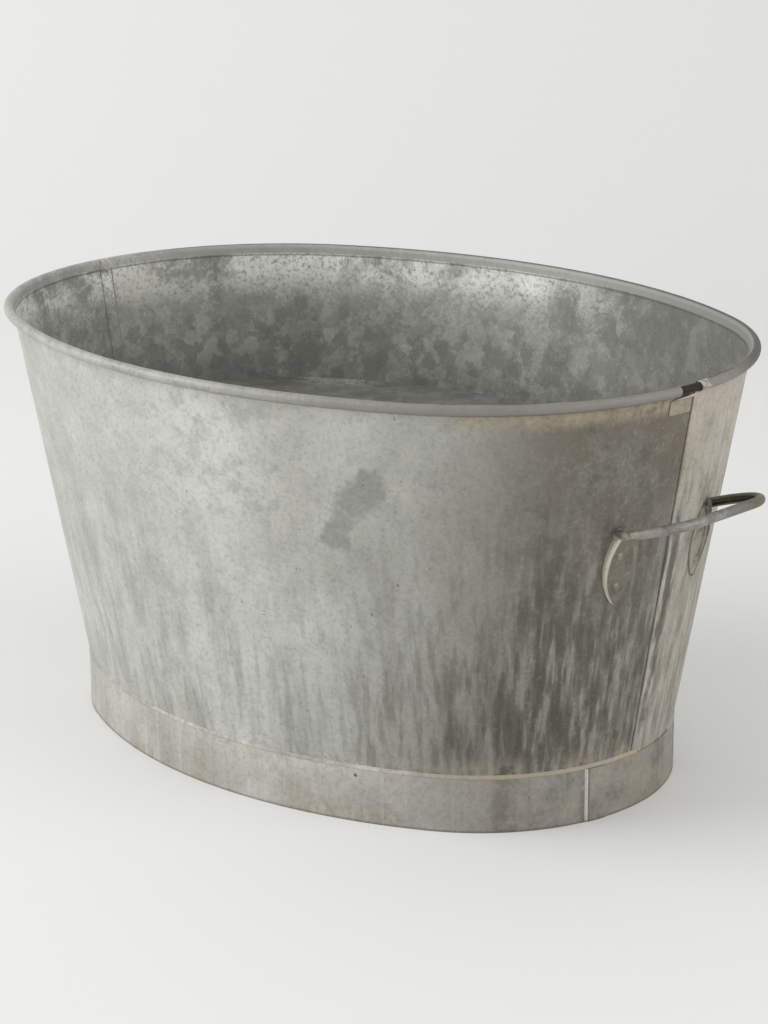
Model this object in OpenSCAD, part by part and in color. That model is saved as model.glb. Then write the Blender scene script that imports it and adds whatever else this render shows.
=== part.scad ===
// Oval zinc wash tub with a wired rim, lapped end seams, a soldered foot band and two riveted handles.
// The origin is the middle of the surface that the tub stands on. X runs along the tub, Y across it, Z up.

/* [Body] */
// Length over the rolled rim
rim_length = 900; // [840:2:1000]
// Radius of the rim's two round ends. The rim's width follows from it and the length
end_radius = 294; // [260:1:330]
// Height from the ground to the top of the rim
tub_height = 470; // [440:5:540]
// How far the wall spreads, on each side, from the foot band up to the rim
flare = 72; // [40:1:95]
// Thickness of the zinc sheet
sheet = 1; // [0.7:0.1:1.4]
// Film of solder or slack between two pieces that lie on each other
film = 0.1; // [0.05:0.05:0.2]

/* [Rim] */
// Thickness of the iron wire inside the rim
wire_d = 8.4; // [6:0.2:12]
// Part of the curl that stays open along the wall, in degrees
curl_gap = 40; // [20:5:80]
// Length of the torn stretch of curl beside the right seam
tear_length = 28; // [10:1:45]
// Length of the patch soldered on under the torn stretch
patch_length = 31; // [15:1:45]
// Height of that patch
patch_height = 15; // [8:1:30]
// How far the patch's torn upper edge sticks out where it is widest
torn_lip = 9; // [3:0.5:10]
// How far that edge leans out from the wall, in degrees
torn_lean = 45; // [35:5:60]

/* [Seams] */
// Overlap of the two wall sheets at each end of the tub
lap = 12; // [9:0.5:20]
// Width of the groove beside the outer sheet's edge
seam_groove = 1.5; // [0.6:0.1:3]
// Length of the bend where the inner sheet steps in behind the outer one
seam_bend = 2; // [1:0.5:4]
// Width of the bead of solder along the inner sheet's edge
seam_bead = 2; // [1:0.25:4]

/* [Floors] */
// Height of the upper floor's top face
upper_floor_z = 312; // [311:1:360]
// Height of the upper floor's turned-down edge
upper_flange = 6; // [3:0.5:7]
// How far the bottom floor lies below the top of the foot band
floor_drop = 10; // [6:1:20]
// Height of the bottom floor's turned-down edge
floor_flange = 10; // [6:1:18]
// Size of the solder fillet round the bottom floor
floor_fillet = 4; // [2:0.5:7]

/* [Foot band] */
// Height of the foot band
foot_height = 58; // [45:1:80]
// Overlap of the foot band's two ends
foot_lap = 20; // [15:1:45]
// Where the foot band's lap ends, in degrees round the right end
foot_lap_turn = -10; // [-30:1:-8]
// Height of the solder along the top of the foot band
foot_solder_h = 5; // [3:0.5:8]
// Where the stretch of broken solder starts, in degrees round the right end
break_start = 3; // [0:1:8]
// Where it ends
break_end = 22; // [12:1:40]

/* [Handles] */
// Height of the middle of the handle's feet
foot_z = 286; // [250:1:288]
// Distance between the middles of the two feet
foot_spacing = 130; // [122:1:138]
// Width of a foot
foot_width = 36; // [30:1:44]
// Radius of a foot's curved sides
foot_side_r = 64; // [56:1:80]
// How much is rounded off a foot's two points
foot_tip = 4; // [2:0.5:8]
// Thickness of a foot
foot_plate = 1.5; // [1:0.1:2.5]
// Thickness of the raised edge along the outer side of a foot
foot_edge_d = 7; // [5:0.5:9]
// How far that edge stays inside the foot's outline
foot_edge_inset = 0.5; // [0.3:0.1:1]
// How much that edge sinks towards its lower end, in degrees
foot_edge_sink = 3; // [1:0.5:4]
// Thickness of the grip
grip_d = 10.4; // [8:0.2:13]
// Thickness of the bend between the grip and a foot
elbow_d = 11.6; // [11:0.2:15]
// How far the bend's middle stands out from the wall
elbow_out = 1; // [0.5:0.5:3]
// Thickness of the grip's pressed sheet
grip_sheet = 1.3; // [1:0.1:2]
// Width of the slot along the inner side of the grip
grip_slot = 6; // [4:0.5:7]
// Height at which the grip leaves the wall
grip_z = 322; // [316:1:326]
// Half of the grip's widest span
grip_half = 87; // [83:1:91]
// Radius of the grip's two corners
grip_corner = 46; // [42:1:60]
// How far out the grip is at its widest
grip_stand = 35; // [26:1:40]
// How far the grip rises outwards, in degrees
grip_tilt = 15; // [0:1:25]

/* [Rivets] */
// Distance between the two rivets of a foot
rivet_spacing = 34; // [20:1:38]
// How far the pair of rivets sits below the middle of the foot
rivet_drop = 6; // [4:1:9]
// Thickness of a rivet's shank
rivet_d = 5; // [3:0.5:6]
// Width of a rivet's head
rivet_head_d = 9; // [8:0.5:12]
// Height of a rivet's head
rivet_head_h = 2; // [1:0.25:3]
// Width of a rivet's closed end
rivet_end_d = 8; // [7:0.5:10]
// Height of a rivet's closed end
rivet_end_h = 1.5; // [1:0.25:3]
// Width of the washer under a rivet's closed end
washer_d = 14; // [12:1:16]
// Thickness of that washer
washer_t = 1; // [0.6:0.1:1.6]

/* [Hidden] */
$fn = 96;
section_fn = 24;

zinc = [0.70, 0.71, 0.70];
dull_zinc = [0.60, 0.60, 0.57];
iron = [0.33, 0.27, 0.23];
pressed_iron = [0.52, 0.51, 0.48];
solder = [0.84, 0.82, 0.75];

// The plan is an oval of four arcs that run smoothly into each other: two round ends and two long sides.
// They meet on lines that go 15 across the tub for each 8 along it, so that all centres are round numbers
meet_along = 8;
meet_across = 15;
end_turn = atan(meet_across / meet_along);
half_length = rim_length / 2;
end_x = half_length - end_radius;
side_y = end_x * meet_across / meet_along;
half_width = (half_length + 3 * end_radius) / 4;
side_radius = half_width + side_y;
// How many times the meeting line's steps reach past the tub
meet_reach = 50;
full_turn = 360;
// The arcs reach this far into each other where they meet, so that they join
meet_overlap = 0.01;

// The curl of sheet round the wire
curl_bore_r = wire_d / 2 + film;
curl_r = curl_bore_r + sheet;
rim_z = tub_height - curl_r;
lip_z = rim_z - curl_r;
flare_angle = atan(flare / (rim_z - foot_height));

// How far the wall's outer and inner faces lie outside the rim's outermost line at a height
function wall_out(z) = (z - rim_z) * tan(flare_angle) - curl_bore_r / cos(flare_angle) - curl_r;
function wall_in(z) = wall_out(z) - sheet / cos(flare_angle);
// The wall's radius round the tub's end, and the turn that a width spans there
function end_r(z) = end_radius + wall_out(z);
function turn_for(width, z) = width / end_r(z) * 180 / PI;

// The foot band hangs straight down from where the wall meets its top
band_in = wall_out(foot_height) + film;
band_out = band_in + sheet;
floor_z = foot_height - floor_drop;
wall_foot_z = floor_z - floor_flange - sheet;
wall_length = (rim_z - wall_foot_z) / cos(flare_angle);

// At a seam the outer sheet ends flush, and the inner one steps in behind it
seam_step = sheet + film;
lap_turn = turn_for(lap, rim_z);
groove_turn = turn_for(seam_groove, rim_z);
bend_turn = groove_turn + turn_for(seam_bend, rim_z);
tear_turn = turn_for(tear_length, rim_z);

// The patch's torn edge starts low enough to lean out past the wire
lip_clear = wire_d / 2 + sheet;
lip_in = curl_bore_r - film - sheet / 2;
lip_drop = (lip_clear + lip_in * cos(torn_lean)) / sin(torn_lean);
patch_top_z = rim_z - lip_drop * cos(flare_angle);

// The handle's feet
foot_turn = asin(foot_spacing / 2 / end_r(foot_z));
foot_side_y = foot_side_r - foot_width / 2;
foot_half_h = sqrt(pow(foot_side_r, 2) - pow(foot_side_y, 2));
edge_path_r = foot_side_r - foot_edge_d / 2 - foot_edge_inset;
edge_top_turn = asin((grip_z - foot_z) / cos(flare_angle) / edge_path_r);
edge_low_turn = asin((foot_half_h - foot_tip) / edge_path_r);

// The grip: a straight front between two corner arcs, in a plane that rises outwards
corner_y = grip_half - grip_corner;
root_turn = 90 + asin((grip_stand - elbow_out) / grip_corner);
root_y = corner_y + grip_corner * sin(root_turn);
grip_x = end_x + sqrt(pow(end_r(grip_z), 2) - pow(root_y, 2));

// A flat washer needs this much room on the round wall
washer_sag = pow(washer_d / 2, 2) / (2 * end_r(foot_z));
washer_seat = sheet + film + washer_sag;
head_seat = foot_plate + 2 * film;
end_seat = washer_seat + washer_t + film;
// A rivet's hole is cut this far both ways from the wall's outer face
hole_reach = 2 * end_seat;

// The part of the plan that belongs to an arc: to the round end at +X, or to the long side at +Y
module arc_field(on_side) {
    far_x = end_x + meet_reach * meet_along;
    far_y = meet_reach * meet_across;
    if (on_side)
        polygon([[-end_x, -meet_overlap], [end_x, -meet_overlap], [far_x, far_y], [-far_x, far_y]]);
    else
        translate([-meet_overlap, 0])
            polygon([[end_x, 0], [far_x, -far_y], [2 * far_x, -far_y], [2 * far_x, far_y], [far_x, far_y]]);
}

// Sweeps a section round the oval between two turns. The section's x is its distance outside the rim line
module oval_sweep(from = -90, to = 270) {
    for (part = [0:4]) {
        on_side = part % 2 == 1;
        spun = 180 * floor(part / 2);
        middle = on_side ? 90 : 0;
        spread = on_side ? 90 - end_turn : end_turn;
        start = max(from - spun, middle - spread - 1);
        end = min(to - spun, middle + spread + 1);
        if (min(end, middle + spread) > max(start, middle - spread))
            rotate([0, 0, spun])
                intersection() {
                    translate(on_side ? [0, -side_y, 0] : [end_x, 0, 0])
                        rotate_extrude(start = start, angle = end - start)
                            translate([on_side ? side_radius : end_radius, 0])
                                children();
                    linear_extrude(2 * tub_height, center = true)
                        arc_field(on_side);
                }
    }
}

// The oval as a flat shape, moved out from the rim line by a distance
module oval(out) {
    for (spun = [0, 180], on_side = [false, true])
        rotate(spun)
            intersection() {
                translate(on_side ? [0, -side_y] : [end_x, 0])
                    circle((on_side ? side_radius : end_radius) + out);
                arc_field(on_side);
            }
}

// The section of a layer along the wall, between two distances from the wall's outer face
module wall_layer(near, far, low, high) {
    near_x = near / cos(flare_angle);
    far_x = far / cos(flare_angle);
    polygon([[wall_out(low) + near_x, low], [wall_out(low) + far_x, low],
             [wall_out(high) + far_x, high], [wall_out(high) + near_x, high]]);
}

// Puts its children on the wall's outer face at the right end: x points out of the wall, z up along it
module on_end(turn, z) {
    translate([end_x, 0, 0])
        rotate([0, 0, turn])
            translate([end_r(z), 0, z])
                rotate([0, flare_angle, 0])
                    children();
}

// Puts its children in the section of the curl, with y up along the wall
module at_curl() {
    translate([-curl_r, rim_z])
        rotate(-flare_angle)
            children();
}

// The whole wall in section: the sheet, and the ring of it that curls round the wire and stays open below
module wall_section() {
    reach = 2 * curl_r;
    at_curl() {
        translate([-curl_r, -wall_length])
            square([sheet, wall_length]);
        difference() {
            circle(curl_r, $fn = section_fn);
            circle(curl_bore_r, $fn = section_fn);
            polygon([[0, 0], [-reach, 0], [-reach, -reach * tan(curl_gap)]]);
        }
    }
}

// A strip of sheet behind the wall in section. It ends a little below the curl
module strip_section(thickness) {
    at_curl()
        translate([-curl_r - seam_step, -wall_length])
            square([thickness, wall_length - sheet]);
}

// Half of the wall. It starts behind the other half at the right end and ends over it at the left
module wall_half() {
    oval_sweep(groove_turn, 180)
        wall_section();
    oval_sweep(-lap_turn, (groove_turn + bend_turn) / 2)
        strip_section(sheet);
    oval_sweep(groove_turn, bend_turn)
        strip_section(seam_step + sheet / 2);
}

// Puts its children at the right handle's four rivets, with z out of the wall
module at_rivets() {
    for (side = [-1, 1], row = [-1, 1])
        on_end(side * foot_turn, foot_z)
            translate([0, 0, row * rivet_spacing / 2 - rivet_drop])
                rotate([0, 90, 0])
                    children();
}

module rivet_holes() {
    at_rivets()
        cylinder(d = rivet_d + 2 * film, h = 2 * hole_reach, center = true, $fn = section_fn);
}

module both_ends() {
    for (turn = [0, 180])
        rotate([0, 0, turn])
            children();
}

module back_wall() {
    color(zinc)
        difference() {
            wall_half();
            both_ends()
                rivet_holes();
        }
}

// The stretch of curl that is torn away: all of it above the wire's middle, and outside it below
module torn_stretch() {
    reach = 2 * curl_r;
    oval_sweep(-tear_turn, groove_turn / 2)
        at_curl()
            translate([-reach, -sheet])
                square([2 * reach, reach]);
    oval_sweep(-tear_turn, groove_turn / 2)
        at_curl()
            translate([-curl_bore_r, -reach])
                square(2 * reach);
}

// The front wall has lost its curl beside the right seam
module front_wall() {
    color(dull_zinc)
        difference() {
            rotate([0, 0, 180])
                wall_half();
            both_ends()
                rivet_holes();
            torn_stretch();
        }
}

module rim_wire() {
    color(iron)
        oval_sweep()
            translate([-curl_r, rim_z])
                circle(d = wire_d, $fn = section_fn);
}

// The patch's upper edge is torn, and the torn part leans out in front of the wire
module rim_patch() {
    end = full_turn - groove_turn;
    spread = turn_for(patch_length, patch_top_z);
    color(zinc) {
        oval_sweep(end - spread, end)
            wall_layer(film, film + sheet, patch_top_z - patch_height, patch_top_z);
        on_end(end - spread / 2, patch_top_z)
            translate([film + sheet / 2, 0, 0])
                rotate([0, torn_lean, 0])
                    rotate([90, 0, 90])
                        linear_extrude(sheet, center = true)
                            polygon([[-patch_length / 2, -sheet / 2], [patch_length / 2, -sheet / 2],
                                     [patch_length / 2, torn_lip], [-patch_length / 2, 0]]);
    }
}

// The bead of solder along the inner sheet's edge at the right end, from the upper floor to the curl
module seam_bead_run() {
    oval_sweep(-lap_turn - turn_for(seam_bead, rim_z), -lap_turn)
        wall_layer(-2 * sheet, -seam_step, upper_floor_z + film, lip_z);
}

module seam_solder_right() {
    color(solder)
        seam_bead_run();
}

module seam_solder_left() {
    color(solder)
        rotate([0, 0, 180])
            seam_bead_run();
}

// The room that the inner sheet takes at the two seams, with a film round it
module lap_room(low, high) {
    slack_turn = turn_for(2 * film, low);
    both_ends()
        oval_sweep(-lap_turn - slack_turn, bend_turn + slack_turn)
            wall_layer(-seam_step - sheet - film, sheet, low, high);
}

// A flat plate that fits inside the wall, with an edge turned down along it
module tray(top_z, flange) {
    difference() {
        union() {
            translate([0, 0, top_z - sheet])
                linear_extrude(sheet)
                    oval(wall_in(top_z) - film - sheet / 2);
            oval_sweep()
                wall_layer(-seam_step - sheet, -seam_step, top_z - flange, top_z);
        }
        lap_room(top_z - flange - sheet, top_z + sheet);
    }
}

module bottom_floor() {
    color(dull_zinc)
        tray(floor_z, floor_flange);
}

module upper_floor() {
    color(dull_zinc)
        tray(upper_floor_z, upper_flange);
}

module floor_solder() {
    low = floor_z + film;
    high = low + floor_fillet;
    color(solder)
        difference() {
            oval_sweep()
                polygon([[wall_in(low) - film - floor_fillet, low], [wall_in(low) - film, low],
                         [wall_in(high) - film, high]]);
            lap_room(floor_z, high + sheet);
        }
}

// The band's outer end steps over its inner end
module foot_band() {
    start = foot_lap_turn - turn_for(foot_lap, foot_height);
    step_end = start + full_turn - groove_turn;
    step_start = step_end - 2 * (bend_turn - groove_turn);
    step_middle = (step_start + step_end) / 2;
    color(zinc) {
        oval_sweep(start, step_middle)
            translate([band_in, 0])
                square([sheet, foot_height]);
        oval_sweep(step_start, step_end)
            translate([band_in, 0])
                square([seam_step + sheet, foot_height]);
        oval_sweep(step_middle, full_turn + foot_lap_turn)
            translate([band_in + seam_step, 0])
                square([sheet, foot_height]);
    }
}

module foot_solder() {
    low = foot_height + film;
    high = foot_height + foot_solder_h;
    color(solder)
        oval_sweep(break_end, full_turn + break_start)
            polygon([[wall_out(low) + film, low], [band_out, low],
                     [band_out + sheet / 2, low + sheet], [wall_out(high) + film, high]]);
}

// The foot's outline: two arcs that meet in points, with the points rounded off
module foot_outline() {
    intersection() {
        translate([foot_side_y, 0])
            circle(foot_side_r);
        translate([-foot_side_y, 0])
            circle(foot_side_r);
        circle(foot_half_h - foot_tip);
    }
}

// The foot's plate, bent to the wall
module foot_plate_bent() {
    spread = turn_for(foot_width, foot_z);
    intersection() {
        oval_sweep(foot_turn - spread, foot_turn + spread)
            wall_layer(film, film + foot_plate, foot_z - foot_half_h, foot_z + foot_half_h);
        on_end(foot_turn, foot_z)
            rotate([90, 0, 90])
                linear_extrude(foot_width, center = true)
                    foot_outline();
    }
}

// The raised edge along the foot's outer side. It sinks into the plate towards its lower end
module foot_edge() {
    on_end(foot_turn, foot_z)
        translate([film + foot_plate, 0, 0])
            rotate([0, foot_edge_sink, 0])
                translate([0, -foot_side_y, 0])
                    rotate([90, 0, 90]) {
                        rotate_extrude(start = -edge_low_turn, angle = edge_low_turn + edge_top_turn)
                            translate([edge_path_r, 0])
                                circle(d = foot_edge_d, $fn = section_fn);
                        rotate(edge_top_turn)
                            translate([edge_path_r, 0])
                                sphere(d = foot_edge_d + sheet, $fn = section_fn);
                    }
}

// The grip in section: sheet pressed into a tube with a slot along its inner side
module grip_section() {
    difference() {
        circle(d = grip_d, $fn = section_fn);
        circle(d = grip_d - 2 * grip_sheet, $fn = section_fn);
        translate([-grip_d, -grip_slot / 2])
            square([grip_d, grip_slot]);
    }
}

// Half of the grip, with the bend that leads down into the foot
module grip_half_run() {
    translate([grip_x, 0, grip_z])
        rotate([0, -grip_tilt, 0]) {
            translate([grip_stand + grip_corner, corner_y, 0])
                rotate([90, 0, 0])
                    linear_extrude(corner_y)
                        grip_section();
            translate([grip_stand, corner_y, 0])
                rotate_extrude(start = 0, angle = root_turn)
                    translate([grip_corner, 0])
                        grip_section();
            translate([elbow_out, root_y, 0])
                sphere(d = elbow_d, $fn = section_fn);
        }
}

// The room inside the wall, up to the middle of the foot's plate
module wall_room() {
    spread = 2 * foot_turn;
    oval_sweep(-spread, spread)
        wall_layer(-end_radius / 3, film + foot_plate / 2, foot_z - 2 * foot_half_h, grip_z + foot_half_h);
}

module handle() {
    difference() {
        for (side = [0, 1])
            mirror([0, side, 0]) {
                difference() {
                    union() {
                        foot_edge();
                        grip_half_run();
                    }
                    wall_room();
                }
                foot_plate_bent();
            }
        rivet_holes();
    }
}

module handle_right() {
    color(pressed_iron)
        handle();
}

module handle_left() {
    color(pressed_iron)
        rotate([0, 0, 180])
            handle();
}

// A low dome with a flat face down
module dome(width, height) {
    ball_r = (pow(width / 2, 2) + pow(height, 2)) / (2 * height);
    rotate_extrude()
        intersection() {
            translate([0, height - ball_r])
                circle(ball_r);
            square([width, height]);
        }
}

module rivet() {
    translate([0, 0, head_seat])
        dome(rivet_head_d, rivet_head_h);
    translate([0, 0, -end_seat - rivet_end_h / 2])
        cylinder(d = rivet_d, h = head_seat + end_seat + rivet_end_h / 2 + rivet_head_h / 2);
    translate([0, 0, -end_seat])
        mirror([0, 0, 1])
            dome(rivet_end_d, rivet_end_h);
}

module washer() {
    translate([0, 0, -washer_seat - washer_t])
        difference() {
            cylinder(d = washer_d, h = washer_t);
            translate([0, 0, -washer_t / 2])
                cylinder(d = rivet_d + 2 * film, h = 2 * washer_t);
        }
}

module handle_rivets_right() {
    color(pressed_iron)
        at_rivets()
            rivet();
}

module handle_rivets_left() {
    color(pressed_iron)
        rotate([0, 0, 180])
            at_rivets()
                rivet();
}

module rivet_washers_right() {
    color(pressed_iron)
        at_rivets()
            washer();
}

module rivet_washers_left() {
    color(pressed_iron)
        rotate([0, 0, 180])
            at_rivets()
                washer();
}

front_wall();
back_wall();
rim_wire();
rim_patch();
seam_solder_right();
seam_solder_left();
bottom_floor();
floor_solder();
upper_floor();
foot_band();
foot_solder();
handle_right();
handle_left();
handle_rivets_right();
handle_rivets_left();
rivet_washers_right();
rivet_washers_left();
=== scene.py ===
from math import radians

import bmesh
import bpy
from mathutils import Matrix, Vector


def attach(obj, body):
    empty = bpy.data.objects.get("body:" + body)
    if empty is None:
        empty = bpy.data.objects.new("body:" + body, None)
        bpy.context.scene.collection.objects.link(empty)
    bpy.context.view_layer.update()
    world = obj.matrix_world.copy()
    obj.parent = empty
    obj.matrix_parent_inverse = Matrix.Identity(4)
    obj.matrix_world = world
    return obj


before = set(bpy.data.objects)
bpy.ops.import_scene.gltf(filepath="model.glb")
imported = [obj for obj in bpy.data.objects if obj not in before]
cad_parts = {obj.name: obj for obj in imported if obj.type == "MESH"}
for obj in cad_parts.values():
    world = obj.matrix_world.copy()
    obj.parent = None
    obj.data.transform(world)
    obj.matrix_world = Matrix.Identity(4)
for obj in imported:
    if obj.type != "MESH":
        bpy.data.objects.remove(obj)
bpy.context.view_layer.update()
print("stage: frame loaded")


# A written colour is sRGB, and the shaders want linear
def hexToLinear(text):
    channels = [int(text[i:i + 2], 16) / 255 for i in (1, 3, 5)]
    return [c / 12.92 if c <= 0.04045 else ((c + 0.055) / 1.055) ** 2.4 for c in channels] + [1.0]


def addNode(tree, kind, inputs=None, **settings):
    node = tree.nodes.new(kind)
    for name, value in settings.items():
        setattr(node, name, value)
    for key, value in (inputs or {}).items():
        if isinstance(value, bpy.types.NodeSocket):
            tree.links.new(value, node.inputs[key])
        else:
            node.inputs[key].default_value = value
    return node


def newMaterial(name):
    material = bpy.data.materials.new(name)
    material.use_nodes = True
    material.node_tree.nodes.clear()
    return material, material.node_tree


def paint(nodeNames, material):
    for name in nodeNames:
        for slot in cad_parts[name].material_slots:
            slot.material = material


# Patterns that the finishes are mixed from. mm is the size of the pattern's largest spots, and a squash
# below 1 draws them out down the wall
patterns = {
    "cloud": {"mm": 210, "detail": 4, "rough": 0.6},
    "patch": {"mm": 85, "detail": 6, "rough": 0.7, "twist": 0.3},
    "mottle": {"mm": 30, "detail": 6, "rough": 0.75},
    "grain": {"mm": 5, "detail": 5, "rough": 0.8},
    "speck": {"mm": 6.5, "detail": 3, "rough": 0.5},
    "runs": {"mm": 9, "detail": 4, "rough": 0.55, "squash": 0.022},
    "wideRuns": {"mm": 38, "detail": 4, "rough": 0.55, "squash": 0.030},
    "veins": {"mm": 17, "detail": 4, "rough": 0.7, "twist": 1.2},
    "dents": {"mm": 75, "detail": 2, "rough": 0.5},
}
crystals = {"mm": 15, "raggedMm": 9, "shift": 0.012}
spotRagged = 1.6


# A metal surface: a base colour with layers over it. A layer shows where all its signs are past their
# limits. A sign is a place along x, y or z, a pattern, a spot, or how far a face looks outwards
def layeredMetal(name, look):
    material, tree = newMaterial(name)
    coords = addNode(tree, "ShaderNodeTexCoord").outputs["Object"]
    place = addNode(tree, "ShaderNodeSeparateXYZ", {0: coords}).outputs
    signs = {"x": place["X"], "y": place["Y"], "z": place["Z"]}
    spots = look.get("spots", {})
    used = {sign for layer in look["layers"] for sign, low, high in layer["where"]}
    used |= set(look["height"]) | {look["rough"][0]}
    if spots:
        used.add("mottle")
    if "outward" in used:
        normal = addNode(tree, "ShaderNodeNewGeometry").outputs["Normal"]
        level = addNode(tree, "ShaderNodeVectorMath", {0: coords, 1: (1, 1, 0)}, operation="MULTIPLY")
        facing = addNode(tree, "ShaderNodeVectorMath", {0: normal, 1: level.outputs[0]},
                         operation="DOT_PRODUCT")
        signs["outward"] = facing.outputs["Value"]
    for key in sorted(used & set(patterns)):
        pattern = patterns[key]
        drawn = addNode(tree, "ShaderNodeMapping",
                        {"Vector": coords, "Scale": (1, 1, pattern.get("squash", 1))}).outputs[0]
        noise = addNode(tree, "ShaderNodeTexNoise",
                        {"Vector": drawn, "Scale": 1000 / pattern["mm"], "Detail": pattern["detail"],
                         "Roughness": pattern["rough"], "Distortion": pattern.get("twist", 0)})
        signs[key] = noise.outputs["Fac"]
    if "crystal" in used:
        ragged = addNode(tree, "ShaderNodeTexNoise",
                         {"Vector": coords, "Scale": 1000 / crystals["raggedMm"], "Detail": 5, "Roughness": 0.7})
        shifted = addNode(tree, "ShaderNodeMix",
                          {0: crystals["shift"], 4: coords, 5: ragged.outputs["Color"]}, data_type="VECTOR")
        cells = addNode(tree, "ShaderNodeTexVoronoi",
                        {"Vector": shifted.outputs[1], "Scale": 1000 / crystals["mm"]})
        signs["crystal"] = addNode(tree, "ShaderNodeSeparateColor", {0: cells.outputs["Color"]}).outputs[0]
    for key, spot in spots.items():
        nearest = 1000.0
        for middle in spot["at"]:
            offset = addNode(tree, "ShaderNodeVectorMath", {0: coords, 1: middle}, operation="SUBTRACT")
            scaled = addNode(tree, "ShaderNodeVectorMath", {0: offset.outputs[0], 1: spot["reach"]},
                             operation="DIVIDE")
            away = addNode(tree, "ShaderNodeVectorMath", {0: scaled.outputs[0]}, operation="LENGTH")
            nearest = addNode(tree, "ShaderNodeMath", {0: away.outputs["Value"], 1: nearest},
                              operation="MINIMUM").outputs[0]
        uneven = addNode(tree, "ShaderNodeMath", {0: signs["mottle"], 1: 0.5}, operation="SUBTRACT")
        signs[key] = addNode(tree, "ShaderNodeMath",
                             {0: uneven.outputs[0], 1: spot.get("ragged", spotRagged), 2: nearest},
                             operation="MULTIPLY_ADD").outputs[0]

    steps = {}
    colour = hexToLinear(look["base"])
    for layer in look["layers"]:
        mask = layer["amount"]
        for limit in layer["where"]:
            sign, low, high = limit
            if limit not in steps:
                steps[limit] = addNode(tree, "ShaderNodeMapRange",
                                       {"Value": signs[sign], "From Min": low, "From Max": high},
                                       interpolation_type="SMOOTHSTEP").outputs["Result"]
            mask = addNode(tree, "ShaderNodeMath", {0: steps[limit], 1: mask}, operation="MULTIPLY").outputs[0]
        colour = addNode(tree, "ShaderNodeMix", {0: mask, 6: colour, 7: hexToLinear(layer["colour"])},
                         data_type="RGBA").outputs[2]

    roughBy, smooth, rough = look["rough"]
    roughness = addNode(tree, "ShaderNodeMapRange",
                        {"Value": signs[roughBy], "From Min": 0.3, "From Max": 0.7,
                         "To Min": smooth, "To Max": rough}).outputs["Result"]
    height = 0.0
    for key, weight in look["height"].items():
        height = addNode(tree, "ShaderNodeMath", {0: signs[key], 1: weight, 2: height},
                         operation="MULTIPLY_ADD").outputs[0]
    bump = addNode(tree, "ShaderNodeBump", {"Strength": look["bump"], "Distance": 0.001, "Height": height})
    shader = addNode(tree, "ShaderNodeBsdfPrincipled",
                     {"Base Color": colour, "Roughness": roughness, "Metallic": look["metallic"],
                      "Normal": bump.outputs["Normal"]})
    addNode(tree, "ShaderNodeOutputMaterial", {"Surface": shader.outputs[0]})
    return material


# Limits that many layers share, as (sign, where it starts, where it is full)
inside = ("outward", -0.12, -0.16)
outside = ("outward", -0.16, -0.12)
rightPart = ("x", 0.06, 0.24)
rightEnd = ("x", 0.28, 0.36)
belowMiddle = ("z", 0.44, 0.10)
curl = ("z", 0.4590, 0.4602)
underCurl = ("z", 0.4595, 0.4580)

# Hot-dipped zinc, gone dull: a pale grey oxide with blotches, a little grain, run marks and dark pits
agedOutside = [
    {"colour": "#c0c1bb", "amount": 1.0, "where": [("cloud", 0.34, 0.60), outside]},
    {"colour": "#cfd0cc", "amount": 0.50, "where": [("patch", 0.46, 0.66), outside]},
    {"colour": "#95968f", "amount": 0.30, "where": [("mottle", 0.58, 0.36), outside]},
    {"colour": "#c6c1b4", "amount": 0.40, "where": [("cloud", 0.50, 0.38), ("mottle", 0.46, 0.60), outside]},
    {"colour": "#8b8b84", "amount": 0.42, "where": [("wideRuns", 0.48, 0.68), belowMiddle, outside]},
    {"colour": "#84847d", "amount": 0.34, "where": [("runs", 0.48, 0.68), belowMiddle, outside]},
    {"colour": "#cdcec8", "amount": 0.34, "where": [("runs", 0.48, 0.34), belowMiddle, outside]},
]
# The inside is greyer and darker, and its zinc crystals still show
agedInside = [
    {"colour": "#888983", "amount": 1.0, "where": [inside]},
    {"colour": "#757670", "amount": 0.70, "where": [("patch", 0.56, 0.42), inside]},
    {"colour": "#a3a49d", "amount": 0.60, "where": [("mottle", 0.49, 0.54), ("x", 0.20, -0.05), inside]},
    {"colour": "#a9aaa3", "amount": 0.45, "where": [("crystal", 0.62, 0.70), ("patch", 0.40, 0.56), inside]},
    {"colour": "#6b6c66", "amount": 0.45, "where": [("crystal", 0.30, 0.20), inside]},
    {"colour": "#a5a69f", "amount": 0.50, "where": [("z", 0.36, 0.43), ("x", 0.10, -0.10), inside]},
    {"colour": "#62635d", "amount": 0.30, "where": [("wideRuns", 0.50, 0.66), inside]},
    {"colour": "#4f4f4a", "amount": 0.60, "where": [("z", 0.360, 0.314), ("patch", 0.34, 0.60), inside]},
    {"colour": "#6f706b", "amount": 0.50, "where": [("x", 0.0, 0.30), inside]},
]
# Where the inside is rubbed: whitish scour near the top, fine raised veins towards the right
rubbedInside = [
    {"colour": "#e4e5e0", "amount": 0.92,
     "where": [("z", 0.405, 0.446), ("patch", 0.38, 0.54), ("grain", 0.32, 0.54), ("x", 0.12, -0.06), inside]},
    {"colour": "#c8c9c3", "amount": 0.50,
     "where": [("z", 0.375, 0.430), ("mottle", 0.48, 0.60), ("grain", 0.40, 0.60), ("x", 0.20, 0.0), inside]},
    {"colour": "#b6b7b1", "amount": 0.45,
     "where": [("veins", 0.482, 0.498), ("veins", 0.518, 0.502), ("x", -0.25, 0.05), ("mottle", 0.46, 0.58),
               inside]},
    {"colour": "#4c4d49", "amount": 0.35,
     "where": [("veins", 0.510, 0.524), ("veins", 0.540, 0.526), ("mottle", 0.44, 0.58), inside]},
]
# Specks that both sides have
fineWear = [
    {"colour": "#66655f", "amount": 0.26, "where": [("grain", 0.52, 0.36)]},
    {"colour": "#d2d3ce", "amount": 0.12, "where": [("grain", 0.52, 0.70)]},
    {"colour": "#4a4842", "amount": 0.50, "where": [("speck", 0.71, 0.76)]},
]
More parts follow.
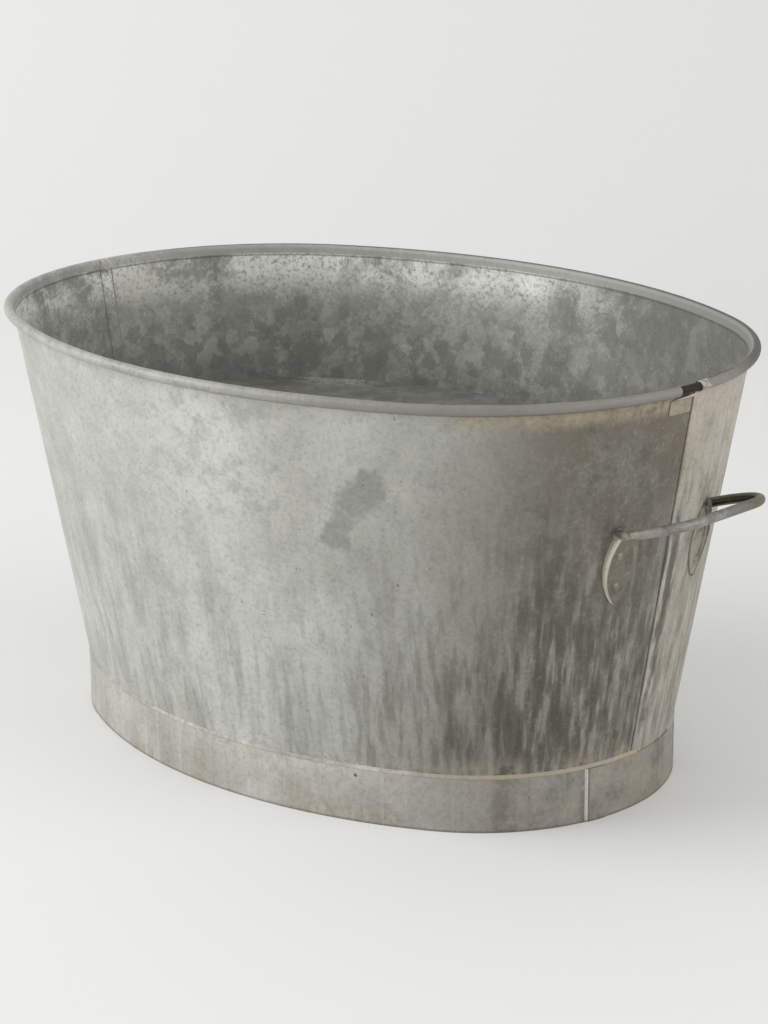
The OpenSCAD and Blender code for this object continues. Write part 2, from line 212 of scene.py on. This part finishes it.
# The rolled rim: rubbed on top, with painted shade in the crease below it on both sides, darker and a little rusty
# towards the torn stretch, where painted shade and dirt lie along its inner edge
agedRim = [
    {"colour": "#adada7", "amount": 0.85, "where": [curl]},
    {"colour": "#8f8f89", "amount": 0.50, "where": [curl, ("mottle", 0.56, 0.42)]},
    {"colour": "#605f59", "amount": 0.35, "where": [curl, ("grain", 0.48, 0.36)]},
    # Painted shade in the crease just under the curl
    {"colour": "#4f4e49", "amount": 0.60, "where": [underCurl, ("z", 0.4558, 0.4576)]},
    {"colour": "#7e7b73", "amount": 0.75, "where": [curl, ("x", 0.00, 0.34)]},
    # Painted shade with dirt along the inner edge of the near rim towards the torn stretch
    {"colour": "#2f2d29", "amount": 0.85,
     "where": [curl, ("x", 0.24, 0.34), ("y", 0.09, 0.05), ("outward", 0.09, 0.02), ("wideRuns", 0.36, 0.52)]},
    {"colour": "#643a2e", "amount": 0.80,
     "where": [curl, ("x", 0.36, 0.42), ("y", -0.13, -0.06), ("y", 0.20, 0.08), ("outward", 0.20, 0.05),
               ("grain", 0.47, 0.56)]},
]
zincFinish = {"rough": ("mottle", 0.50, 0.66), "metallic": 0.25, "bump": 0.45,
              "height": {"dents": 3.2, "mottle": 0.8, "grain": 0.35}}

frontLook = dict(zincFinish, base="#adaea8", spots={
    "paleBloom": {"at": [(0.078, -0.300, 0.362), (0.062, -0.311, 0.413)], "reach": (0.11, 0.06, 0.085)},
    "darkStain": {"at": [(0.2463, -0.2553, 0.380), (0.2350, -0.2580, 0.367), (0.2236, -0.2602, 0.354),
                         (0.2125, -0.2615, 0.338), (0.2018, -0.2623, 0.3217)],
                  "reach": (0.014, 0.03, 0.016), "ragged": 2.2},
    "drip": {"at": [(0.3255, -0.1440, 0.112)], "reach": (0.006, 0.006, 0.046), "ragged": 0.7},
}, layers=agedOutside + [
    {"colour": "#d9dad8", "amount": 0.45, "where": [("paleBloom", 1.1, 0.4), ("mottle", 0.40, 0.60), outside]},
    # The brown and olive stain towards the right seam, with blotches and darker and paler runs in it. Its darkness is
    # partly painted shade where the wall turns away from the light
    {"colour": "#6a665b", "amount": 0.90, "where": [("y", -0.290, -0.130), rightPart, ("cloud", 0.16, 0.50), outside]},
    {"colour": "#53503f", "amount": 0.50,
     "where": [("y", -0.24, -0.12), rightPart, ("mottle", 0.44, 0.60), ("patch", 0.58, 0.42), outside]},
    {"colour": "#6b5a4c", "amount": 0.55,
     "where": [("y", -0.20, -0.11), rightPart, ("patch", 0.46, 0.60), ("z", 0.24, 0.32), outside]},
    {"colour": "#97948a", "amount": 0.40,
     "where": [("y", -0.20, -0.08), rightPart, ("mottle", 0.52, 0.38), ("grain", 0.40, 0.60), outside]},
    {"colour": "#44423b", "amount": 0.62,
     "where": [("runs", 0.46, 0.62), ("y", -0.27, -0.12), rightPart, ("z", 0.40, 0.14), outside]},
    {"colour": "#4a4840", "amount": 0.50,
     "where": [("wideRuns", 0.48, 0.60), ("y", -0.27, -0.12), rightPart, ("z", 0.44, 0.20), outside]},
    {"colour": "#a19e93", "amount": 0.55,
     "where": [("runs", 0.48, 0.36), ("y", -0.25, -0.10), rightPart, ("z", 0.42, 0.16), outside]},
    {"colour": "#b3a58b", "amount": 0.75,
     "where": [("z", 0.436, 0.4515), ("patch", 0.36, 0.58), ("mottle", 0.36, 0.54), ("x", 0.30, 0.35), outside]},
    {"colour": "#b5ab98", "amount": 0.50,
     "where": [("z", 0.090, 0.060), ("mottle", 0.44, 0.60), ("x", 0.16, 0.30), outside]},
    {"colour": "#777970", "amount": 0.55, "where": [("darkStain", 1.4, 0.6), outside]},
    {"colour": "#514e45", "amount": 0.65, "where": [("drip", 1.1, 0.5), outside]},
] + agedInside + rubbedInside + fineWear + agedRim)

backLook = dict(zincFinish, base="#adaea8", spots={
    "seamScour": {"at": [(-0.4316, 0.034, 0.434), (-0.425, 0.060, 0.441)], "reach": (0.03, 0.026, 0.020)},
    # A streaked painted shadow beside the right seam
    "seamDark": {"at": [(0.385, 0.012, 0.17), (0.398, 0.012, 0.24)], "reach": (0.06, 0.016, 0.09), "ragged": 2.4},
}, layers=agedOutside + [
    # The strip beyond the right seam: warm and pale above, streaked below, with a painted shadow along the seam
    {"colour": "#b9ae9c", "amount": 0.75, "where": [rightEnd, ("z", 0.24, 0.40), ("cloud", 0.25, 0.5), outside]},
    {"colour": "#a09a8e", "amount": 0.80, "where": [rightEnd, ("z", 0.38, 0.22), outside]},
    {"colour": "#8d8677", "amount": 0.45, "where": [rightEnd, ("mottle", 0.46, 0.60), outside]},
    {"colour": "#77736a", "amount": 0.55, "where": [rightEnd, ("runs", 0.48, 0.64), ("z", 0.46, 0.30), outside]},
    {"colour": "#c9c4b8", "amount": 0.35, "where": [rightEnd, ("runs", 0.48, 0.36), outside]},
    {"colour": "#57534a", "amount": 0.70, "where": [rightEnd, ("y", 0.0050, 0.0025), outside]},
    {"colour": "#4a4841", "amount": 0.75, "where": [("seamDark", 1.2, 0.5), ("runs", 0.40, 0.54), outside]},
] + agedInside + rubbedInside + [
    {"colour": "#c6c0b2", "amount": 0.70, "where": [("seamScour", 1.2, 0.3), ("grain", 0.36, 0.56), inside]},
] + fineWear + agedRim + [
    # The far rim is darker on top and paler along its inner side
    {"colour": "#4d4c48", "amount": 0.80, "where": [curl, ("y", 0.04, 0.14), ("outward", -0.22, -0.12)]},
    {"colour": "#9a9a94", "amount": 0.60, "where": [curl, ("y", 0.04, 0.14), ("outward", -0.18, -0.26)]},
    {"colour": "#cdc6bb", "amount": 0.80, "where": [curl, ("y", -0.002, 0.0), ("y", 0.020, 0.012), ("grain", 0.46, 0.54)]},
])

footLook = dict(zincFinish, base="#b3b1aa", spots={
    "knock": {"at": [(0.1854, -0.2195, 0.0510)], "reach": (0.0024, 0.0024, 0.0024), "ragged": 0.6},
}, layers=[
    {"colour": "#c6c5be", "amount": 0.8, "where": [("cloud", 0.36, 0.60)]},
    {"colour": "#9b9890", "amount": 0.45, "where": [("mottle", 0.58, 0.38)]},
    {"colour": "#968f82", "amount": 0.40, "where": [("wideRuns", 0.48, 0.66), ("z", 0.058, 0.030)]},
    {"colour": "#8d806d", "amount": 0.60, "where": [("z", 0.046, 0.006), ("patch", 0.46, 0.60), ("mottle", 0.40, 0.58)]},
    {"colour": "#d3d1ca", "amount": 0.25, "where": [("runs", 0.48, 0.34)]},
    # The stain carries on down the foot band, partly painted shade where the band turns away from the light
    {"colour": "#7d786e", "amount": 0.70, "where": [("y", -0.26, -0.13), rightPart, ("cloud", 0.20, 0.52)]},
    {"colour": "#575349", "amount": 0.45, "where": [("wideRuns", 0.48, 0.62), ("y", -0.24, -0.10), rightPart]},
    {"colour": "#5b574d", "amount": 0.40, "where": [("mottle", 0.50, 0.62), ("y", -0.22, -0.08), rightPart]},
    {"colour": "#aaa496", "amount": 0.45, "where": [("mottle", 0.50, 0.38), ("y", -0.24, -0.10), rightPart]},
    {"colour": "#9c9184", "amount": 0.55, "where": [("y", -0.05, 0.02), ("x", 0.30, 0.34), ("patch", 0.38, 0.56)]},
    # The lap's cut edge is bright metal with a painted highlight, and a painted shadow lies just beside it
    {"colour": "#dedad0", "amount": 0.95, "where": [("y", -0.0624, -0.0616), ("y", -0.0590, -0.0598), rightEnd]},
    {"colour": "#55524a", "amount": 0.50, "where": [("y", -0.0600, -0.0592), ("y", -0.0560, -0.0580), rightEnd]},
    {"colour": "#4a4740", "amount": 0.85, "where": [("knock", 1.0, 0.7)]},
    {"colour": "#56534b", "amount": 0.60, "where": [("z", 0.0035, 0.0005)]},
] + fineWear)

# Limescale and dirt lie on the floors
floorLook = dict(zincFinish, base="#75766f", spots={
    "scale": {"at": [(-0.288, 0.215, 0.312), (-0.250, 0.228, 0.312)], "reach": (0.040, 0.030, 0.02)},
}, layers=[
    {"colour": "#85868b", "amount": 0.7, "where": [("x", -0.18, 0.06)]},
    {"colour": "#62635d", "amount": 0.6, "where": [("patch", 0.54, 0.40)]},
    {"colour": "#96978f", "amount": 0.3, "where": [("crystal", 0.62, 0.70)]},
    {"colour": "#bfbfb7", "amount": 0.60, "where": [("scale", 1.2, 0.3), ("grain", 0.38, 0.58)]},
] + fineWear)

# The patch is the wall's sheet. Its torn edge, which faces up, carries a painted highlight
patchLook = dict(zincFinish, base="#8f8878", layers=[
    {"colour": "#a89f8c", "amount": 0.8, "where": [("mottle", 0.42, 0.58)]},
    {"colour": "#d3ccbd", "amount": 0.9, "where": [("z", 0.4540, 0.4560)]},
] + fineWear)

paint(["front_wall"], layeredMetal("dulledZincFront", frontLook))
paint(["back_wall"], layeredMetal("dulledZincBack", backLook))
paint(["rim_patch"], layeredMetal("patchZinc", patchLook))
paint(["foot_band"], layeredMetal("stainedZincFoot", footLook))
paint(["upper_floor", "bottom_floor"], layeredMetal("limedZincFloor", floorLook))
print("stage: zinc painted")

# Handles: pressed iron, dipped with the tub. The grip is worn grey by hands, its far arm dark with dirt and painted
# shade, the feet are stained like the wall, the near foot's raised edge carries a painted cream highlight and the far
# foot's a painted shade
handleLook = {
    "base": "#7b7a74", "rough": ("grain", 0.36, 0.54), "metallic": 0.4, "bump": 0.5,
    "height": {"mottle": 0.8, "grain": 0.5},
    "spots": {
        "nearEdge": {"at": [(0.0, -0.0206, 0.286)], "reach": (1000, 0.0600, 0.0600), "ragged": 0.02},
        "farEdge": {"at": [(0.0, 0.0206, 0.286)], "reach": (1000, 0.0600, 0.0600), "ragged": 0.02},
        "roots": {"at": [(x, -0.074, 0.326) for x in (-0.430, 0.430)], "reach": (0.036, 0.030, 0.020)},
    },
    "layers": [
        {"colour": "#9a9993", "amount": 0.8, "where": [("patch", 0.46, 0.56)]},
        {"colour": "#55534c", "amount": 0.5, "where": [("mottle", 0.50, 0.38)]},
        # The grip's far arm: olive with dirt and painted shade on its inner side
        {"colour": "#66634c", "amount": 0.75, "where": [("y", 0.02, 0.05), ("z", 0.318, 0.326)]},
        {"colour": "#c0b8a7", "amount": 0.80, "where": [("roots", 1.2, 0.5), ("mottle", 0.38, 0.54)]},
        # The near foot has the stained wall's tone, the far one that of the pale strip
        {"colour": "#787266", "amount": 0.95, "where": [("z", 0.324, 0.316), ("y", 0.01, -0.01)]},
        {"colour": "#9d9586", "amount": 0.95, "where": [("z", 0.324, 0.316), ("y", -0.01, 0.01)]},
        {"colour": "#625d51", "amount": 0.6, "where": [("z", 0.324, 0.316), ("mottle", 0.52, 0.42)]},
        # Painted cream highlight along the near foot's raised outer edge
        {"colour": "#d2cbba", "amount": 0.90,
         "where": [("nearEdge", 0.985, 1.010), ("y", -0.03, -0.05), ("z", 0.326, 0.320)]},
        # Painted shade on the far foot's raised edge
        {"colour": "#35332c", "amount": 0.90,
         "where": [("farEdge", 0.93, 0.97), ("y", 0.03, 0.05), ("z", 0.326, 0.320)]},
        {"colour": "#47453e", "amount": 0.4, "where": [("grain", 0.44, 0.36)]},
        {"colour": "#cbcbc6", "amount": 0.3, "where": [("grain", 0.56, 0.68)]},
    ],
}
rivetLook = dict(handleLook, spots={}, base="#7d7669", layers=[
    {"colour": "#989182", "amount": 0.8, "where": [("mottle", 0.46, 0.56)]},
    {"colour": "#504c43", "amount": 0.6, "where": [("grain", 0.48, 0.38)]},
])
# The rim's wire: iron, rusted through its skin, and near black as painted shade in the torn opening
wireLook = dict(handleLook, spots={}, base="#211a17", rough=("grain", 0.70, 0.90), metallic=0.1, bump=0.9, layers=[
    {"colour": "#57382c", "amount": 0.7, "where": [("grain", 0.54, 0.64)]},
    {"colour": "#6f5a4e", "amount": 0.4, "where": [("mottle", 0.58, 0.66)]},
])
# Soft solder: smeared on by hand, dull grey, with a cream bloom where it is seen from outside
solderLook = dict(handleLook, spots={}, base="#b2afa6", rough=("grain", 0.50, 0.70), metallic=0.15, bump=1.0, layers=[
    {"colour": "#d0cabe", "amount": 0.8, "where": [("mottle", 0.44, 0.58)]},
    {"colour": "#999890", "amount": 0.6, "where": [("patch", 0.52, 0.42)]},
    {"colour": "#8f897b", "amount": 0.5, "where": [("grain", 0.50, 0.40)]},
    {"colour": "#a29680", "amount": 0.8, "where": [("x", 0.20, 0.30), ("patch", 0.36, 0.52)]},
    {"colour": "#7f7f79", "amount": 0.9, "where": [("z", 0.25, 0.30)]},
])
paint(["handle_right", "handle_left"], layeredMetal("wornPressedIron", handleLook))
paint(["handle_rivets_right", "handle_rivets_left", "rivet_washers_right", "rivet_washers_left"],
      layeredMetal("dullRivetIron", rivetLook))
paint(["rim_wire"], layeredMetal("rustedAndShadedWire", wireLook))
paint(["seam_solder_right", "seam_solder_left", "floor_solder", "foot_solder"],
      layeredMetal("creamedSolder", solderLook))
print("stage: other metals painted")

# A small rivet inside the left seam, near the rim: a low dome on the inner sheet
seamRivet = {"at": (-0.4366, 0.006, 0.457), "width": 0.0054, "height": 0.0013, "wallLean": 10.04}
ballRadius = ((seamRivet["width"] / 2) ** 2 + seamRivet["height"] ** 2) / (2 * seamRivet["height"])
bpy.ops.object.select_all(action="DESELECT")
bpy.ops.mesh.primitive_uv_sphere_add(segments=32, ring_count=24, radius=ballRadius, location=(0, 0, 0))
rivet = bpy.context.active_object
rivet.name = "seamRivet"
bpy.ops.object.mode_set(mode="EDIT")
bpy.ops.mesh.select_all(action="SELECT")
bpy.ops.mesh.bisect(plane_co=(0, 0, ballRadius - seamRivet["height"]), plane_no=(0, 0, 1), use_fill=True,
                    clear_inner=True)
bpy.ops.mesh.select_all(action="SELECT")
bpy.ops.transform.translate(value=(0, 0, seamRivet["height"] - ballRadius))
bpy.ops.object.mode_set(mode="OBJECT")
bpy.ops.object.shade_smooth_by_angle(angle=radians(35))
rivet.rotation_euler = (0, radians(90 - seamRivet["wallLean"]), 0)
rivet.location = seamRivet["at"]
bpy.ops.object.transform_apply(location=True, rotation=True, scale=True)
rivet.data.materials.append(layeredMetal("brightRivetIron", dict(rivetLook, base="#c4c2ba")))
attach(rivet, "root")
print("stage: seam rivet set")

# The camera stands where the outlines in the photograph put it
camera = {"place": (2.12266, -2.2090, 1.15686), "lens": 101.92, "right": (0.72537, 0.68834, -0.00596),
          "up": (-0.19177, 0.21038, 0.95863), "forward": (-0.66111, 0.69421, -0.28461)}
cameraData = bpy.data.cameras.new("photoCamera")
cameraData.lens = camera["lens"]
cameraData.sensor_width = 36
cameraData.clip_end = 50
cameraObject = bpy.data.objects.new("photoCamera", cameraData)
bpy.context.scene.collection.objects.link(cameraObject)
axes = Matrix([camera["right"], camera["up"], [-part for part in camera["forward"]]]).transposed()
cameraObject.matrix_world = Matrix.Translation(camera["place"]) @ axes.to_4x4()
bpy.context.scene.camera = cameraObject
print("stage: camera set")

# One white cloth, flat under the tub and swept up behind it
cloth = {"width": 14.0, "front": 5.0, "back": 3.6, "height": 6.0, "bend": 1.6, "bendSteps": 24, "turn": 43.6,
         "colour": "#e8e8e7"}
bpy.ops.object.select_all(action="DESELECT")
bpy.ops.mesh.primitive_plane_add(size=1, location=(0, (cloth["back"] - cloth["front"]) / 2, 0))
floor = bpy.context.active_object
floor.name = "whiteCloth"
floor.scale = (cloth["width"], cloth["front"] + cloth["back"], 1)
bpy.ops.object.transform_apply(location=True, rotation=True, scale=True)
bpy.ops.object.mode_set(mode="EDIT")
bpy.ops.mesh.select_mode(type="EDGE")
bpy.ops.mesh.select_all(action="DESELECT")
cage = bmesh.from_edit_mesh(floor.data)
max(cage.edges, key=lambda edge: sum(corner.co.y for corner in edge.verts)).select_set(True)
bmesh.update_edit_mesh(floor.data)
bpy.ops.mesh.extrude_region_move(TRANSFORM_OT_translate={"value": (0, 0, cloth["height"])})
bpy.ops.mesh.select_all(action="DESELECT")
cage = bmesh.from_edit_mesh(floor.data)
for edge in cage.edges:
    edge.select_set(all(corner.co.z < 0.01 and corner.co.y > cloth["back"] - 0.01 for corner in edge.verts))
bmesh.update_edit_mesh(floor.data)
bpy.ops.mesh.bevel(offset=cloth["bend"], segments=cloth["bendSteps"], affect="EDGES")
bpy.ops.object.mode_set(mode="OBJECT")
bpy.ops.object.shade_smooth()
floor.rotation_euler = (0, 0, radians(cloth["turn"]))
bpy.ops.object.transform_apply(location=True, rotation=True, scale=True)
clothMaterial, tree = newMaterial("whiteClothWeave")
shader = addNode(tree, "ShaderNodeBsdfPrincipled", {"Base Color": hexToLinear(cloth["colour"]), "Roughness": 0.95})
addNode(tree, "ShaderNodeOutputMaterial", {"Surface": shader.outputs[0]})
floor.data.materials.append(clothMaterial)
print("stage: cloth laid")

# Light: a large soft window at the left, a weaker one at the right, and a pale room
windows = {
    "leftWindow": {"place": (-2.5, -2.8, 2.3), "size": 3.8, "power": 118},
    "rightWindow": {"place": (3.4, 0.9, 2.0), "size": 3.2, "power": 45},
}
room = {"colour": "#f0f0ef", "strength": 0.74}
for name, window in windows.items():
    light = bpy.data.lights.new(name, "AREA")
    light.shape = "DISK"
    light.size = window["size"]
    light.energy = window["power"]
    lamp = bpy.data.objects.new(name, light)
    bpy.context.scene.collection.objects.link(lamp)
    lamp.location = window["place"]
    lamp.rotation_euler = (Vector((0, 0, 0.2)) - Vector(window["place"])).to_track_quat("-Z", "Y").to_euler()
world = bpy.data.worlds.new("paleRoom")
world.use_nodes = True
world.node_tree.nodes.clear()
sky = addNode(world.node_tree, "ShaderNodeBackground",
              {"Color": hexToLinear(room["colour"]), "Strength": room["strength"]})
addNode(world.node_tree, "ShaderNodeOutputWorld", {"Surface": sky.outputs[0]})
bpy.context.scene.world = world
bpy.context.scene.view_settings.view_transform = "Standard"
print("stage: lit")
